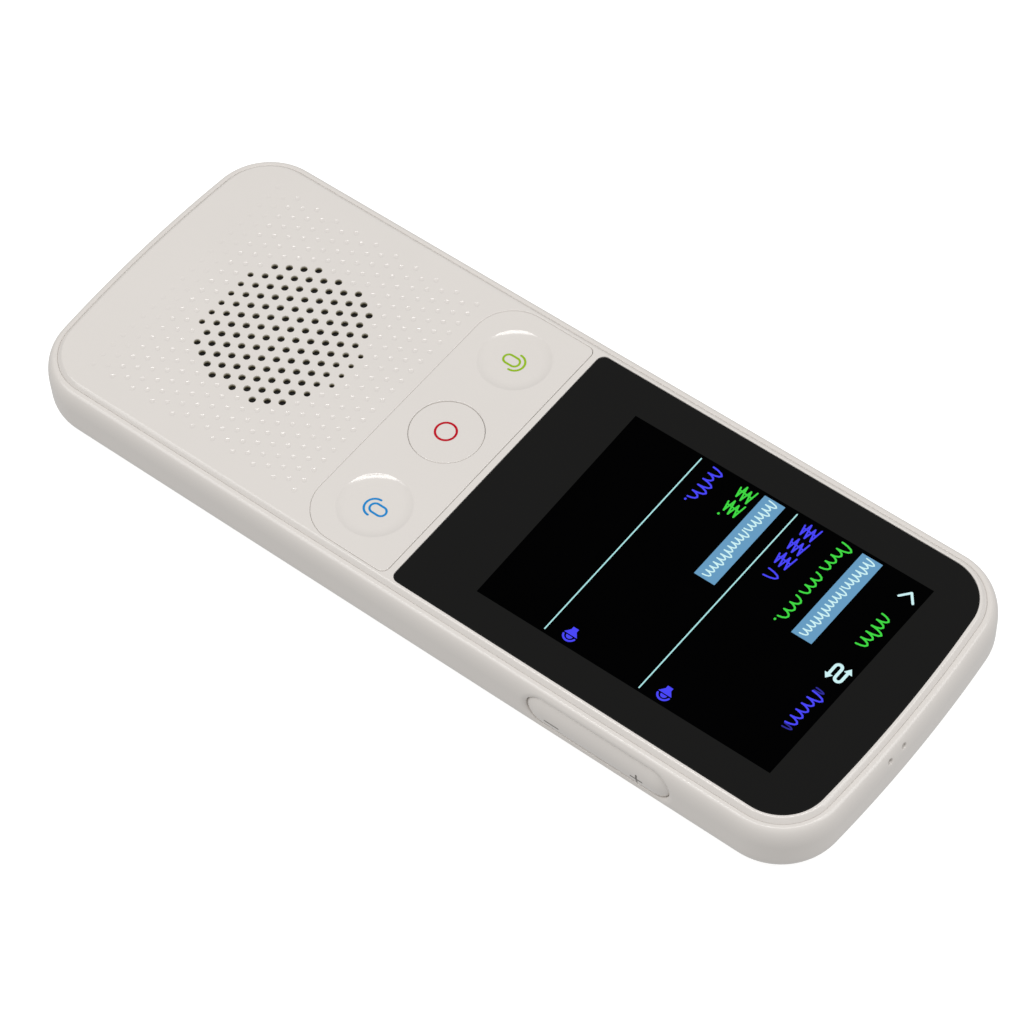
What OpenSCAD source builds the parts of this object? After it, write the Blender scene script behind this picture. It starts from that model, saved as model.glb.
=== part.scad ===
// Handheld translator lying on its back. Millimetres, +Z out of the front face,
// +Y towards the screen end, origin under the middle of the case on its back face.

/* [Body] */
// Width of the case across the side walls
body_w = 53.6; // [53:0.1:55]
// Length of the case from the speaker end to the screen end
body_l = 137.9; // [137.5:0.1:140]
// Thickness of the whole device
body_t = 11; // [11:0.1:12]
// Radius of the four plan corners
corner_r = 9.8; // [9:0.1:10.5]
// Radius of the slightly bowed short ends
end_r = 235; // [200:5:300]
// Floor thickness of the rear case
floor_t = 1.3; // [1:0.1:1.3]

/* [Front] */
// Width of the touch glass
glass_w = 48; // [46:0.1:48]
// Edge of the touch glass at the key side
glass_y0 = -1.75; // [-2:0.05:-1.7]
// Edge of the key panel next to the glass
panel_y1 = -2.91; // [-3.2:0.01:-2.9]
// Edge of the key panel next to the loudspeaker
panel_y0 = -19.29; // [-19.4:0.01:-18.8]
// Width of the key panel
panel_w = 47.93; // [46:0.01:47.95]
// Distance of each talk key from the middle of the panel
talk_x = 15.8; // [14.5:0.1:16.5]
// Radius of the shallow dish in each talk key
dish_r = 5.3; // [4.5:0.1:5.5]
// Radius of the key panel's corners next to the loudspeaker
panel_r = 6.3; // [5:0.1:7]
// Radius of the round centre key
centre_r = 5.38; // [5:0.01:5.4]
// Gap round the key panel and round the centre key
key_gap = 0.12; // [0.1:0.01:0.2]
// Travel of the centre key
centre_travel = 0.3; // [0.2:0.05:0.3]

/* [Loudspeaker] */
// Middle of the loudspeaker along the case
spk_y = -40.45; // [-41:0.05:-40]
// Distance between neighbouring sound holes
hole_pitch = 2.162; // [2.1:0.001:2.2]
// Radius of the sound holes in the middle rows
hole_r = 0.52; // [0.4:0.01:0.55]
// Thickness of the front plate over the loudspeaker
grille_t = 0.75; // [0.7:0.05:1]
// Outer radius of the loudspeaker frame
spk_r = 14.2; // [14:0.1:14.4]

/* [Side rocker] */
// Middle of the volume rocker along the case
rocker_y = 35.3; // [34:0.1:36]
// Height of the middle of the volume rocker above the back face
rocker_z = 6; // [5.9:0.05:6.1]
// Length of the volume rocker
rocker_l = 23.7; // [22:0.1:24]
// Height of the volume rocker
rocker_h = 5.4; // [4.6:0.1:5.4]

/* [Inside] */
// Length of the battery pouch
battery_l = 54; // [40:1:54]
// Width of the battery pouch
battery_w = 40; // [30:1:40]
// Thickness of the battery pouch
battery_t = 3.65; // [2.5:0.05:3.65]

/* [Hidden] */
$fn = 48;

top_z = body_t;
plate_z = top_z - 1.7;          // underside of the front cover's plate
ledge_z = top_z - 0.95;         // ledge that the glass adhesive lies on
board_z0 = plate_z - 3.8;       // underside of the main board
board_z1 = board_z0 + 0.8;      // top of the main board
key_y = (panel_y0 + panel_y1) / 2 + 0.1;
pivot_z = top_z - 1.25;         // axis of the key panel's trunnions
mat_z1 = top_z - 2 - centre_travel - 0.05; // top of the key sheet, just below the keys' lowest point
rocker_pivot_x = body_w / 2 - 2.7;
row_dy = hole_pitch * sqrt(3) / 2;
hole_rows = [6, 9, 10, 11, 12, 11, 12, 11, 12, 11, 10, 7, 4]; // sound holes in each row
mic_x = [3.3, 6.4];
mic_z = 8.7;
lcd_x = 21.36;
lcd_y0 = 0.35;
lcd_y1 = 60.35;
screw_at = [[18.5, 62.65], [-18.5, 62.65], [20.3, -22.3], [-20.3, -22.3]];
usb_z = 5;

// corner centre of the plan outline: the corner arc is tangent to the side and to the bowed end
cx = body_w / 2 - corner_r;
ey = body_l / 2 - end_r;
cy = ey + sqrt(pow(end_r - corner_r, 2) - pow(cx, 2));
ca = atan2(cy - ey, cx);

function arc(x, y, r, a0, a1, i0, i1, n) = [for (i = [i0:i1]) let (a = a0 + (a1 - a0) * i / n) [x + r * cos(a), y + r * sin(a)]];
// plan outline, moved inwards by d
function outline(d) = concat(
    arc(cx, cy, corner_r - d, 0, ca, 0, 12, 12),
    arc(0, ey, end_r - d, ca, 180 - ca, 1, 7, 8),
    arc(-cx, cy, corner_r - d, 180 - ca, 180, 0, 12, 12),
    arc(-cx, -cy, corner_r - d, 180, 180 + ca, 0, 12, 12),
    arc(0, -ey, end_r - d, 180 + ca, 360 - ca, 1, 7, 8),
    arc(cx, -cy, corner_r - d, 360 - ca, 360, 0, 12, 12));

// solid through outlines given as [inset, height] from bottom to top
module loft(levels) {
    n = len(outline(0));
    m = len(levels);
    pts = [for (l = levels) for (p = outline(l[0])) [p[0], p[1], l[1]]];
    polyhedron(pts, concat(
        [[for (i = [0:n - 1]) i]],
        [for (k = [0:m - 2]) for (i = [0:n - 1]) [k * n + (i + 1) % n, k * n + i, (k + 1) * n + i, (k + 1) * n + (i + 1) % n]],
        [[for (i = [n - 1:-1:0]) (m - 1) * n + i]]));
}
module slab(d, z0, z1) { translate([0, 0, z0]) linear_extrude(z1 - z0) polygon(outline(d)); }
module box(x0, y0, z0, x1, y1, z1) { translate([x0, y0, z0]) cube([x1 - x0, y1 - y0, z1 - z0]); }
module rod_z(x, y, r, z0, z1) { translate([x, y, z0]) cylinder(r = r, h = z1 - z0); }
module rod_y(x, z, r, y0, y1) { translate([x, y1, z]) rotate([90, 0, 0]) cylinder(r = r, h = y1 - y0); }
module rod_x(y, z, r, x0, x1) { translate([x0, y, z]) rotate([0, 90, 0]) cylinder(r = r, h = x1 - x0); }
// rectangle with its own radius at the low-y and the high-y corners
module soft_rect(x0, y0, x1, y1, r0, r1) {
    polygon(concat(
        arc(x1 - r1, y1 - r1, r1, 0, 90, 0, 8, 8), arc(x0 + r1, y1 - r1, r1, 90, 180, 0, 8, 8),
        arc(x0 + r0, y0 + r0, r0, 180, 270, 0, 8, 8), arc(x1 - r0, y0 + r0, r0, 270, 360, 0, 8, 8)));
}
// bar with two round ends, lying along Y, seen from the side wall
module stadium_x(half_l, r, x0, x1) {
    rod_x(rocker_y - half_l + r, rocker_z, r, x0, x1);
    rod_x(rocker_y + half_l - r, rocker_z, r, x0, x1);
    box(x0, rocker_y - half_l + r, rocker_z - r, x1, rocker_y + half_l - r, rocker_z + r);
}
module glass_shape(d) {
    intersection() {
        polygon(outline((body_w - glass_w) / 2 + d));
        translate([0, glass_y0 + d]) soft_rect(-glass_w / 2 + d, 0, glass_w / 2 - d, 90, 1.2, 1.2);
    }
}

// rear shell: rounded tray with a raised rim, a ledge for the cover and the wall openings
module back_case() color([0.87, 0.85, 0.82]) difference() {
    union() {
        difference() {
            loft(concat(
                [for (a = [0:15:75]) [4.2 * (1 - sin(a)), 4 * (1 - cos(a))]],
                [[0, 4], [0, 7]],
                [for (a = [15:15:75]) [1.35 * (1 - cos(a)), 7 + (top_z - 7.62) * sin(a)]],
                [[1.35, top_z - 0.62]]));
            loft([[4, floor_t], [2.9, floor_t + 0.4], [2.2, floor_t + 1], [1.7, 3.2], [1.5, 4.2], [1.5, 8.6]]);
            slab(2.2, 8.5, 9.4);
            slab(1.68, plate_z, top_z + 1);
        }
        // battery fences
        box(-20.6, 2.9, floor_t - 0.1, 20.6, 3.7, 3.2);
        box(-20.6, 58.3, floor_t - 0.1, 20.6, 59.1, 3.2);
        // supports of the charging board
        box(-10.6, -63.6, floor_t - 0.1, -8.6, -57.6, 2.6);
        box(6.2, -63.6, floor_t - 0.1, 8.2, -57.6, 2.6);
    }
    // slot and inside pocket of the volume rocker
    stadium_x(rocker_l / 2 + 0.2, rocker_h / 2 + 0.2, 24.5, 28);
    box(24.3, rocker_y - 13.1, 8.4, 25.3, rocker_y + 13.1, plate_z + 0.01);
    // microphone holes in the screen end
    for (x = mic_x) rod_y(x, mic_z, 0.45, 66, 70);
    // opening of the charging socket in the speaker end
    for (s = [-1, 1]) rod_y(s * 2.87, usb_z, 1.75, -70, -66);
    box(-2.87, -70, usb_z - 1.75, 2.87, -66, usb_z + 1.75);
}

// front plate with the sound holes, the openings for glass and keys, and the snap skirt
module front_cover() color([0.88, 0.86, 0.83]) difference() {
    union() {
        loft([[1.75, plate_z], [1.75, top_z - 0.66], [2.24, top_z - 0.09], [2.45, top_z]]);
        difference() {
            slab(2.3, plate_z - 1.3, plate_z + 0.1);
            slab(3.1, plate_z - 2, plate_z + 1);
            box(22, rocker_y - 14, 0, 30, rocker_y + 14, plate_z);
            box(0.6, 60, 0, 9.1, 70, plate_z);
        }
        for (s = [-1, 1]) for (y = [-48, -25, 8])
            box(s > 0 ? 24.4 : -24.9, y - 2.5, plate_z - 1.2, s > 0 ? 24.9 : -24.4, y + 2.5, plate_z - 0.75);
        for (p = screw_at) rod_z(p[0], p[1], 1.8, board_z1, plate_z + 0.1);
        box(-1.6, panel_y1 - 0.2, plate_z - 0.7, 1.6, -0.2, plate_z + 0.1);
        box(-1.6, panel_y0 - 2.4, plate_z - 0.7, 1.6, panel_y0 - 0.2, plate_z + 0.1);
    }
    translate([0, 0, ledge_z]) linear_extrude(3) glass_shape(-0.1);
    box(-21.7, 0.1, plate_z - 1, 21.7, 60.6, top_z + 1);
    translate([0, 0, plate_z - 1]) linear_extrude(4)
        soft_rect(-panel_w / 2 - key_gap, panel_y0 - key_gap, panel_w / 2 + key_gap, panel_y1 + key_gap, panel_r + key_gap, 1.1 + key_gap);
    // sockets of the key panel's trunnions
    rod_y(0, pivot_z, 0.61, panel_y1 - 1, panel_y1 + 0.9);
    rod_y(0, pivot_z, 0.61, panel_y0 - 1.1, panel_y0 + 1);
    // room for the loudspeaker, which leaves a thin grille above it
    rod_z(0, spk_y, 14.6, plate_z - 1, top_z - grille_t);
    // sound holes, one row after the other
    for (k = [0:12]) for (i = [0:hole_rows[k] - 1])
        rod_z((i - (hole_rows[k] - 1) / 2) * hole_pitch, spk_y + (k - 6) * row_dy,
              abs(k - 6) == 6 ? hole_r * 0.72 : abs(k - 6) == 5 ? hole_r * 0.9 : hole_r, plate_z - 1, top_z + 1);
    for (p = screw_at) rod_z(p[0], p[1], 0.85, board_z1 - 0.1, 9);
}

module touch_glass() color([0.1, 0.1, 0.1]) translate([0, 0, ledge_z + 0.15]) linear_extrude(0.75) glass_shape(0);

module glass_adhesive() color([0.2, 0.2, 0.2]) translate([0, 0, ledge_z]) linear_extrude(0.15) difference() {
    glass_shape(0.3);
    translate([-22, -0.2]) square([44, 61.1]);
}

module lcd_panel() color([0.03, 0.03, 0.04]) box(-lcd_x, lcd_y0, ledge_z - 0.95, lcd_x, lcd_y1, ledge_z + 0.15);

module backlight_unit() color([0.8, 0.8, 0.82]) difference() {
    box(-lcd_x, lcd_y0, ledge_z - 2.05, lcd_x, lcd_y1, ledge_z - 0.95);
    box(-lcd_x + 0.8, lcd_y0 + 3, ledge_z - 1.15, lcd_x - 0.8, lcd_y1 - 0.8, ledge_z - 0.9);
}

module display_flex() color([0.75, 0.5, 0.15]) {
    box(-9, 0.6, ledge_z - 2.17, 9, 10.4, ledge_z - 2.05);
    box(-9, 10.28, board_z1 + 1, 9, 10.4, ledge_z - 2.1);
}

module display_connector() color([0.15, 0.15, 0.15]) box(-10, 8.6, board_z1, 10, 12, board_z1 + 1);

// seesaw plate that carries the two talk keys; it rocks on two round trunnions at its middle
module key_panel() color([0.88, 0.86, 0.83]) difference() {
    union() {
        translate([0, 0, top_z - 1.5]) linear_extrude(1.5)
            soft_rect(-panel_w / 2, panel_y0, panel_w / 2, panel_y1, panel_r, 1.1);
        rod_y(0, pivot_z, 0.55, panel_y1 - 0.9, panel_y1 + 0.8);
        rod_y(0, pivot_z, 0.55, panel_y0 - 1, panel_y0 + 0.9);
        for (s = [-1, 1]) rod_z(s * talk_x, key_y, 1.5, top_z - 2, top_z - 1.4);
    }
    rod_z(0, key_y, centre_r + key_gap, 0, top_z + 1);
    // shallow dishes with a flat floor and a sloping wall
    for (s = [-1, 1]) translate([s * talk_x, key_y - 0.15, top_z]) rotate_extrude($fn = 96)
        polygon([[0, -0.45], [dish_r - 1.3, -0.45], [dish_r, 0], [dish_r, 1], [0, 1]]);
}

module centre_key() color([0.88, 0.86, 0.83]) {
    rod_z(0, key_y, centre_r, top_z - 1.8, top_z - 0.05);
    rod_z(0, key_y, centre_r + 0.9, top_z - 2, top_z - 1.75);
}

// silicone sheet on four legs, with a nub over each switch
module key_mat() color([0.75, 0.75, 0.75]) {
    box(-21, key_y - 6.4, plate_z - 1.15, 21, key_y + 6.4, mat_z1);
    for (s = [-1, 1]) for (t = [-1, 1])
        box(s * 20 - 0.8, key_y + t * 5.5 - 0.8, board_z1, s * 20 + 0.8, key_y + t * 5.5 + 0.8, plate_z - 1.1);
    for (x = [-talk_x, 0, talk_x]) rod_z(x, key_y, 1.2, plate_z - 1.3, plate_z - 1.1);
}

module key_switch(x) color([0.3, 0.3, 0.32]) {
    box(x - 2.1, key_y - 2.1, board_z1, x + 2.1, key_y + 2.1, board_z1 + 1.2);
    rod_z(x, key_y, 1.1, board_z1 + 1.1, board_z1 + 1.7);
}
module centre_switch() key_switch(0);
module left_talk_switch() key_switch(-talk_x);
module right_talk_switch() key_switch(talk_x);

module main_board() color([0.1, 0.35, 0.2]) difference() {
    translate([0, 0, board_z0]) linear_extrude(0.8) intersection() {
        polygon(outline(3.6));
        translate([-21.7, -24]) square([43.4, 100]);
    }
    for (p = screw_at) rod_z(p[0], p[1], 0.9, 0, 10);
}

module board_screws() color([0.6, 0.6, 0.62]) for (p = screw_at) {
    rod_z(p[0], p[1], 0.8, board_z0 - 0.1, 8.8);
    difference() {
        rod_z(p[0], p[1], 1.4, board_z0 - 0.8, board_z0);
        translate([p[0] - 1, p[1] - 0.15, board_z0 - 0.9]) cube([2, 0.3, 0.4]);
        translate([p[0] - 0.15, p[1] - 1, board_z0 - 0.9]) cube([0.3, 2, 0.4]);
    }
}

module shield_can() color([0.75, 0.76, 0.78]) difference() {
    box(-14, 20, board_z1, 14, 50, board_z1 + 1.2);
    box(-13.8, 20.2, board_z1 - 1, 13.8, 49.8, board_z1 + 1);
}
module processor_chip() color([0.12, 0.12, 0.13]) box(-10.5, 35, board_z1, 0.5, 46, board_z1 + 0.85);
module memory_chip() color([0.12, 0.12, 0.13]) box(3, 36, board_z1, 11.5, 47, board_z1 + 0.8);
module radio_chip() color([0.12, 0.12, 0.13]) box(-8, 23, board_z1, -1, 30, board_z1 + 0.75);
module audio_chip() color([0.12, 0.12, 0.13]) box(7.5, -3.5, board_z1, 12, 1, board_z1 + 0.8);

// volume rocker: round-ended bar in the side wall, rocking on a round rib
module volume_rocker() color([0.88, 0.86, 0.83]) {
    stadium_x(rocker_l / 2, rocker_h / 2, 24.6, body_w / 2 + 0.2);
    box(24.4, rocker_y - 12.7, rocker_z - 2.2, 24.95, rocker_y + 12.7, rocker_z + 2.2);
    rod_z(rocker_pivot_x, rocker_y, 0.7, rocker_z - 1.8, rocker_z + 1.8);
    box(rocker_pivot_x, rocker_y - 0.45, rocker_z - 1.8, 24.7, rocker_y + 0.45, rocker_z + 1.8);
}
module volume_bracket() color([0.7, 0.7, 0.7]) difference() {
    box(22.9, rocker_y - 2.2, rocker_z - 2.1, rocker_pivot_x, rocker_y + 2.2, rocker_z + 2.1);
    rod_z(rocker_pivot_x, rocker_y, 0.76, 0, 12);
}
module volume_board() color([0.1, 0.35, 0.2]) box(22.1, rocker_y - 13, rocker_z - 2.1, 22.9, rocker_y + 13, rocker_z + 2.1);
module side_switch(y) color([0.3, 0.3, 0.32]) {
    box(22.9, y - 2.2, rocker_z - 1.4, 23.8, y + 2.2, rocker_z + 1.4);
    rod_x(y, rocker_z, 0.8, 23.7, 24.1);
}
module volume_up_switch() side_switch(rocker_y + 8);
module volume_down_switch() side_switch(rocker_y - 8);
module volume_flex() color([0.75, 0.5, 0.15]) box(18.4, rocker_y - 2, board_z1, 22.1, rocker_y + 2, board_z1 + 0.12);

module ring_profile(p) { translate([0, spk_y, 0]) rotate_extrude($fn = 72) polygon(p); }
module speaker_basket() color([0.35, 0.35, 0.37])
    ring_profile([[12.8, 8.65], [spk_r, 8.65], [spk_r, 7.9], [12.7, 7.9], [9.8, 4.4], [7.2, 4.4],
                  [7.2, 4.9], [9.5, 4.9], [12.4, 8.2], [12.8, 8.2]]);
module speaker_magnet() color([0.5, 0.5, 0.52])
    ring_profile([[0, 2.2], [7.9, 2.2], [7.9, 4.4], [4.4, 4.4], [4.4, 3], [3.6, 3], [3.6, 4.4], [0, 4.4]]);
// cone with its dust cap and voice coil
module speaker_cone() color([0.15, 0.15, 0.16])
    ring_profile([[0, 6.9], [2, 6.7], [3.8, 6.1], [3.8, 3.5], [4.1, 3.5], [4.1, 5.9], [11.3, 7.9], [11.3, 8.15],
                  [4.1, 6.25], [2.1, 6.95], [0, 7.15]]);
module speaker_surround() color([0.2, 0.2, 0.2])
    ring_profile([[11.5, 8.2], [12.75, 8.2], [12.75, 8.4], [12.4, 8.5], [11.9, 8.5], [11.5, 8.4]]);
module speaker_gasket() color([0.2, 0.2, 0.2]) ring_profile([[13, 8.65], [14, 8.65], [14, top_z - grille_t - 0.15], [13, top_z - grille_t - 0.15]]);
module speaker_mesh() color([0.08, 0.08, 0.08]) rod_z(0, spk_y, 14.4, top_z - grille_t - 0.15, top_z - grille_t);
module speaker_pad() color([0.25, 0.25, 0.25]) rod_z(0, spk_y, 7, floor_t, 2.2);
module speaker_leads() color([0.7, 0.1, 0.1]) for (s = [-1, 1]) rod_y(s * 1.2, board_z1 + 0.35, 0.35, -28.45, -22.6);

module battery() color([0.7, 0.72, 0.75])
    translate([0, 31 - battery_l / 2, floor_t + 0.15 + battery_t / 2]) {
        translate([-battery_w / 2 + 1.5, 0, -battery_t / 2]) cube([battery_w - 3, battery_l, battery_t]);
        translate([-battery_w / 2, 0, -battery_t / 2 + 0.6]) cube([battery_w, battery_l, battery_t - 1.2]);
    }
module battery_tape() color([0.9, 0.9, 0.88]) box(-14, 31 - battery_l / 2 + 4, floor_t, 14, 31 + battery_l / 2 - 4, floor_t + 0.15);
module battery_connector() color([0.9, 0.88, 0.8]) box(-6, -4, board_z0 - 1.2, -1, -1, board_z0);
module battery_lead() color([0.7, 0.1, 0.1]) for (x = [-4.4, -2.6]) rod_y(x, board_z0 - 0.9, 0.45, -1, 31 - battery_l / 2);

module microphones() color([0.75, 0.72, 0.6]) for (x = mic_x) box(x - 1.3, 61.5, 7.8, x + 1.3, 62.5, 9.15);
module mic_flex() color([0.75, 0.5, 0.15]) box(1.3, 61.3, board_z1, 8.4, 61.5, 9.2);
module mic_boot() color([0.15, 0.15, 0.15]) difference() {
    box(1.3, 62.5, 7.7, 8.4, 66.6, 9.2);
    for (x = mic_x) rod_y(x, mic_z, 0.4, 62, 67);
}

module usb_shell() color([0.7, 0.7, 0.72]) difference() {
    union() {
        for (s = [-1, 1]) rod_y(s * 2.87, usb_z, 1.6, -68.2, -60.9);
        box(-2.87, -68.2, usb_z - 1.6, 2.87, -60.9, usb_z + 1.6);
    }
    for (s = [-1, 1]) rod_y(s * 2.87, usb_z, 1.3, -70, -61.2);
    box(-2.87, -70, usb_z - 1.3, 2.87, -61.2, usb_z + 1.3);
}
module usb_tongue() color([0.1, 0.1, 0.1]) box(-3.3, -67.4, usb_z - 0.35, 3.3, -61.2, usb_z + 0.35);
module charge_board() color([0.1, 0.35, 0.2]) box(-11, -64.2, 2.6, 13.5, -57, 3.4);
module charge_connector() color([0.15, 0.15, 0.15]) box(8.5, -23.48, board_z0 - 1, 13.5, -20.5, board_z0);
module charge_flex() color([0.75, 0.5, 0.15]) {
    box(9, -58.5, 3.4, 13, -23.48, 3.52);
    box(9, -23.6, 3.45, 13, -23.48, board_z0 - 0.3);
}
module antenna() color([0.75, 0.5, 0.15]) difference() {
    box(-21, -54, floor_t, -15.5, -30, floor_t + 0.2);
    box(-19.5, -52, floor_t - 1, -18.6, -33, floor_t + 1);
    box(-17.6, -50, floor_t - 1, -16.8, -29, floor_t + 1);
}

back_case();
front_cover();
touch_glass();
glass_adhesive();
lcd_panel();
backlight_unit();
display_flex();
display_connector();
key_panel();
centre_key();
key_mat();
centre_switch();
left_talk_switch();
right_talk_switch();
main_board();
board_screws();
shield_can();
processor_chip();
memory_chip();
radio_chip();
audio_chip();
volume_rocker();
volume_bracket();
volume_board();
volume_up_switch();
volume_down_switch();
volume_flex();
speaker_basket();
speaker_magnet();
speaker_cone();
speaker_surround();
speaker_gasket();
speaker_mesh();
speaker_pad();
speaker_leads();
battery();
battery_tape();
battery_connector();
battery_lead();
microphones();
mic_flex();
mic_boot();
usb_shell();
usb_tongue();
charge_board();
charge_connector();
charge_flex();
antenna();
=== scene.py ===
import math

import bmesh
import bpy
import numpy as np
from mathutils import Matrix, Vector
from mathutils.geometry import delaunay_2d_cdt


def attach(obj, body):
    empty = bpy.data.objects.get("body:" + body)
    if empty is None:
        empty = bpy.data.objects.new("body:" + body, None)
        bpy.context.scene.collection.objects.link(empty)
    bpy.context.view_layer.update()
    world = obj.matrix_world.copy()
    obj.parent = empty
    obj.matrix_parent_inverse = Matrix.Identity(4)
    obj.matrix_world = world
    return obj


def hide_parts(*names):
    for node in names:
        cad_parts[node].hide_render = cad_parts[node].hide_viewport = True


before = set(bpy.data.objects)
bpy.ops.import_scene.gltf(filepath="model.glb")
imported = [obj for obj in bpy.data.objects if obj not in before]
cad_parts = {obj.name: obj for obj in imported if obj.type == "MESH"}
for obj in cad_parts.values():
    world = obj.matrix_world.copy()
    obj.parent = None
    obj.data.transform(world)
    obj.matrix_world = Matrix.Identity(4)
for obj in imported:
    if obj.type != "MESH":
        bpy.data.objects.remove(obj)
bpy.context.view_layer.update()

MM = 0.001
scene = bpy.context.scene
scene.view_settings.view_transform = "Standard"
scene.view_settings.look = "None"

# ------------------------------------------------------------------ sizes of the case, in millimetres
HW, HL, CR, ER = 26.8, 68.95, 9.8, 235.0
TOP = 11.0
CX = HW - CR
EY = HL - ER
CY = EY + math.sqrt((ER - CR) ** 2 - CX ** 2)
CA = math.degrees(math.atan2(CY - EY, CX))
KEY_Y = -11.0
SPK_Y = -40.45
PITCH = 2.162
ROW = PITCH * math.sqrt(3) / 2
ROK_Y, ROK_Z = 35.3, 6.0


# ------------------------------------------------------------------ mesh helpers
def ccw(p):
    """The outline p, turned so that it runs counter-clockwise."""
    p = [tuple(q[:2]) for q in p]
    return p if sum(a[0] * b[1] - b[0] * a[1] for a, b in zip(p, p[1:] + p[:1])) > 0 else p[::-1]


class Build:
    """Collects points in millimetres and faces, and makes one mesh piece of them."""

    def __init__(self):
        self.v, self.f, self.m = [], [], []

    def pts(self, points):
        i = len(self.v)
        self.v.extend([tuple(float(c) for c in p) for p in points])
        return list(range(i, len(self.v)))

    def face(self, ids, mat=0):
        self.f.append(tuple(ids))
        self.m.append(mat)

    def strip(self, a, b, mat=0, closed=True):
        n = len(a)
        for i in range(n if closed else n - 1):
            j = (i + 1) % n
            self.face((a[i], a[j], b[j], b[i]), mat)

    def fan(self, ring, centre, mat=0):
        n = len(ring)
        for i in range(n):
            self.face((ring[i], ring[(i + 1) % n], centre), mat)

    def fill(self, loops, extra=(), uv=None, mat=0, mat_of=None):
        """Triangles between closed loops of point ids: inside the first, outside the others."""
        ids, seen = [], {}
        for loop in list(loops) + [list(extra)]:
            for i in loop:
                if i not in seen:
                    seen[i] = len(ids)
                    ids.append(i)
        flat = [Vector(uv(i) if uv else self.v[i][:2]) for i in ids]
        edges = [(seen[l[k]], seen[l[(k + 1) % len(l)]]) for l in loops for k in range(len(l))]
        out_v, _, out_f, orig, _, _ = delaunay_2d_cdt(flat, edges, [], 0, 1e-7, True)
        if any(not o for o in orig):
            raise RuntimeError("fill made a new point")
        place = {k: i for i, o in enumerate(orig) for k in o}
        wall = {frozenset((place[a], place[b])) for a, b in edges}
        sides = {}
        for k, t in enumerate(out_f):
            for i in range(len(t)):
                sides.setdefault(frozenset((t[i], t[(i + 1) % len(t)])), []).append(k)
        inside, queue = {}, []
        for e, ks in sides.items():                  # start from the rim, and change sides at each loop crossed
            if len(ks) == 1 and ks[0] not in inside:
                inside[ks[0]] = e in wall
                queue.append(ks[0])
        while queue:
            k = queue.pop()
            t = out_f[k]
            for i in range(len(t)):
                e = frozenset((t[i], t[(i + 1) % len(t)]))
                for o in sides[e]:
                    if o not in inside:
                        inside[o] = inside[k] != (e in wall)
                        queue.append(o)
        for k, t in enumerate(out_f):
            if not inside[k]:
                continue
            mid = [sum(out_v[i][k] for i in t) / 3 for k in (0, 1)]
            self.face([ids[orig[i][0]] for i in t], mat_of(mid) if mat_of else mat)

    def prism(self, add, sub=(), place=None, low=0.0, high=0.02, mat=0):
        """The union of flat outlines in add less those in sub, as a thin closed solid. place(u, v, h) gives the 3-D point."""
        polys = [ccw(p) for p in list(add) + list(sub)]
        flat, faces = [], []
        for p in polys:
            faces.append(list(range(len(flat), len(flat) + len(p))))
            flat.extend(Vector(q) for q in p)
        out_v, _, out_f, _, _, of = delaunay_2d_cdt(flat, [], faces, 1, 1e-6, True)
        keep = [t for t, o in zip(out_f, of) if any(k < len(add) for k in o) and not any(k >= len(add) for k in o)]
        used = sorted({i for t in keep for i in t})
        lo = dict(zip(used, self.pts(place(out_v[i][0], out_v[i][1], low) for i in used)))
        hi = dict(zip(used, self.pts(place(out_v[i][0], out_v[i][1], high) for i in used)))
        count = {}
        for t in keep:
            self.face([hi[i] for i in t], mat)
            self.face([lo[i] for i in reversed(t)], mat)
            for k in range(3):
                a, b = t[k], t[(k + 1) % 3]
                count[(a, b)] = count.get((a, b), 0) + 1
        for (a, b) in count:
            if (b, a) not in count:
                self.face((lo[a], lo[b], hi[b], hi[a]), mat)

    def box(self, x0, y0, z0, x1, y1, z1, mat=0):
        p = self.pts([(x, y, z) for z in (z0, z1) for x, y in ((x0, y0), (x1, y0), (x1, y1), (x0, y1))])
        for q in ((0, 3, 2, 1), (4, 5, 6, 7), (0, 1, 5, 4), (1, 2, 6, 5), (2, 3, 7, 6), (3, 0, 4, 7)):
            self.face([p[i] for i in q], mat)

    def rod(self, a, b, r, n=32, bore=0.0, mat=0):
        """Round bar from a to b, with a bore if that isn't 0."""
        a, b = Vector(a), Vector(b)
        d = (b - a).normalized()
        u = d.orthogonal().normalized()
        w = d.cross(u)
        def ring(c, rad):
            return self.pts(c + u * rad * math.cos(2 * math.pi * i / n) + w * rad * math.sin(2 * math.pi * i / n) for i in range(n))
        lo, hi = ring(a, r), ring(b, r)
        self.strip(lo, hi, mat)
        if bore:
            lo2, hi2 = ring(a, bore), ring(b, bore)
            self.strip(hi, hi2, mat)
            self.strip(hi2, lo2, mat)
            self.strip(lo2, lo, mat)
        else:
            self.face(lo, mat)
            self.face(hi, mat)

    def mesh(self, name):
        me = bpy.data.meshes.new(name)
        me.from_pydata([(x * MM, y * MM, z * MM) for x, y, z in self.v], [], self.f)
        me.polygons.foreach_set("material_index", self.m)
        bm = bmesh.new()
        bm.from_mesh(me)
        bmesh.ops.delete(bm, geom=[v for v in bm.verts if not v.link_faces], context="VERTS")
        bmesh.ops.recalc_face_normals(bm, faces=bm.faces)
        bm.to_mesh(me)
        bm.free()
        o = bpy.data.objects.new(name, me)
        scene.collection.objects.link(o)
        return o


def cut(obj, *cutters):
    """obj less the cutters, exactly. The cutters are removed."""
    for c in cutters:
        mod = obj.modifiers.new("cut", "BOOLEAN")
        mod.operation, mod.solver, mod.object = "DIFFERENCE", "EXACT", c
    bpy.context.view_layer.update()
    done = bpy.data.meshes.new_from_object(obj.evaluated_get(bpy.context.evaluated_depsgraph_get()))
    obj.modifiers.clear()
    obj.data = done
    for c in cutters:
        bpy.data.objects.remove(c)
    return obj


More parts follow.
